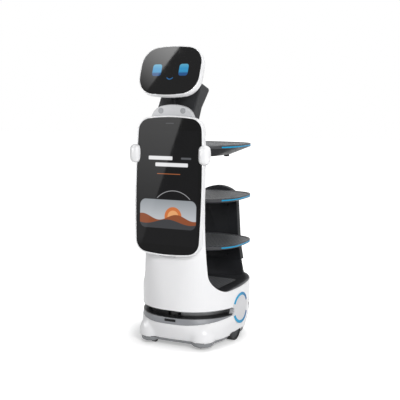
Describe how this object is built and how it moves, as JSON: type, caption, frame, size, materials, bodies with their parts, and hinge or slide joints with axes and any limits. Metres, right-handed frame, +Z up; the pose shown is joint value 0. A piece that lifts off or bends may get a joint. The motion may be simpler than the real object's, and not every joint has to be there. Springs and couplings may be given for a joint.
{
  "type": "indoor delivery robot with shelf trays, a front display and a face display",
  "caption": "Wheeled indoor serving robot: white rounded base and front column, tall front display, tilting face, dark shelf trays and a rear column.",
  "frame": {"origin": "on the floor under the middle of the robot's length and width", "axes": "+Z up, -Y the robot's front, +X the robot's left"},
  "size_m": [0.497, 0.592, 1.4],
  "materials": {
    "white_shell": "gloss",
    "disc_white": "satin",
    "grey_trim": "satin",
    "bay_black": "matte",
    "scanner_black": "gloss",
    "steel_plate": "satin",
    "battery_case": "satin",
    "light_blue": "lit",
    "dark_panel": "satin",
    "deck_grey": "satin",
    "tray_grey": "satin",
    "tray_mat": "non-slip texture",
    "display_glass": "gloss",
    "face_glass": "gloss",
    "sensor_grey": "satin",
    "tyre_rubber": "matte",
    "hub_grey": "satin",
    "caster_fork": "satin",
    "caster_tread": "matte"
  },
  "bodies": {
    "chassis": {"base_shell": "white_shell", "base_skirt": "grey_trim", "battery_pack": "battery_case", "bumper_shell": "white_shell", "caster_seats": "steel_plate", "chassis_plate": "steel_plate", "collar": "white_shell", "collar_sensors": "sensor_grey", "display_bezel": "white_shell", "display_glass": "display_glass", "drive_axles": "steel_plate", "front_column_liner": "dark_panel", "front_column_shell": "white_shell", "front_sensor_window": "scanner_black", "head_post": "dark_panel", "neck_console": "dark_panel", "operator_display": "display_glass", "rear_column": "dark_panel", "rear_column_foot": "dark_panel", "ring_lights": "light_blue", "scanner_bays": "bay_black", "scanner_lips": "grey_trim", "scanners": "scanner_black", "side_discs": "disc_white", "side_pods": "white_shell", "top_tray_arm": "tray_grey", "tray_cameras": "scanner_black", "tray_deck": "deck_grey", "tray_lights": "light_blue", "tray_lower": "tray_grey", "tray_mats": "tray_mat", "tray_middle": "tray_grey", "tray_top": "tray_grey"},
    "head": {"head_shell": "white_shell", "face_glass": "face_glass"},
    "drive_wheel_left": {"drive_tyre_left": "tyre_rubber", "drive_hub_left": "hub_grey"},
    "drive_wheel_right": {"drive_tyre_right": "tyre_rubber", "drive_hub_right": "hub_grey"},
    "caster_swivel_front_left": {"caster_fork_front_left": "caster_fork"},
    "caster_roller_front_left": {"caster_wheel_front_left": "caster_tread"},
    "caster_swivel_front_right": {"caster_fork_front_right": "caster_fork"},
    "caster_roller_front_right": {"caster_wheel_front_right": "caster_tread"},
    "caster_swivel_rear_left": {"caster_fork_rear_left": "caster_fork"},
    "caster_roller_rear_left": {"caster_wheel_rear_left": "caster_tread"},
    "caster_swivel_rear_right": {"caster_fork_rear_right": "caster_fork"},
    "caster_roller_rear_right": {"caster_wheel_rear_right": "caster_tread"}
  },
  "joints": [
    {"name": "head_tilt", "type": "hinge", "parent": "chassis", "child": "head", "pos_m": [0, -0.205, 1.166], "axis": [1, 0, 0], "range_deg": [-10, 15]},
    {"name": "drive_spin_left", "type": "hinge", "parent": "chassis", "child": "drive_wheel_left", "pos_m": [0.196, 0.005, 0.0625], "axis": [1, 0, 0], "continuous": true},
    {"name": "drive_spin_right", "type": "hinge", "parent": "chassis", "child": "drive_wheel_right", "pos_m": [-0.196, 0.005, 0.0625], "axis": [1, 0, 0], "continuous": true},
    {"name": "caster_turn_front_left", "type": "hinge", "parent": "chassis", "child": "caster_swivel_front_left", "pos_m": [0.122, -0.175, 0.06], "axis": [0, 0, 1], "continuous": true},
    {"name": "caster_roll_front_left", "type": "hinge", "parent": "caster_swivel_front_left", "child": "caster_roller_front_left", "pos_m": [0.122, -0.195, 0.025], "axis": [1, 0, 0], "continuous": true},
    {"name": "caster_turn_front_right", "type": "hinge", "parent": "chassis", "child": "caster_swivel_front_right", "pos_m": [-0.122, -0.175, 0.06], "axis": [0, 0, 1], "continuous": true},
    {"name": "caster_roll_front_right", "type": "hinge", "parent": "caster_swivel_front_right", "child": "caster_roller_front_right", "pos_m": [-0.122, -0.195, 0.025], "axis": [1, 0, 0], "continuous": true},
    {"name": "caster_turn_rear_left", "type": "hinge", "parent": "chassis", "child": "caster_swivel_rear_left", "pos_m": [0.112, 0.156, 0.06], "axis": [0, 0, 1], "continuous": true},
    {"name": "caster_roll_rear_left", "type": "hinge", "parent": "caster_swivel_rear_left", "child": "caster_roller_rear_left", "pos_m": [0.112, 0.136, 0.025], "axis": [1, 0, 0], "continuous": true},
    {"name": "caster_turn_rear_right", "type": "hinge", "parent": "chassis", "child": "caster_swivel_rear_right", "pos_m": [-0.112, 0.156, 0.06], "axis": [0, 0, 1], "continuous": true},
    {"name": "caster_roll_rear_right", "type": "hinge", "parent": "caster_swivel_rear_right", "child": "caster_roller_rear_right", "pos_m": [-0.112, 0.136, 0.025], "axis": [1, 0, 0], "continuous": true}
  ]
}
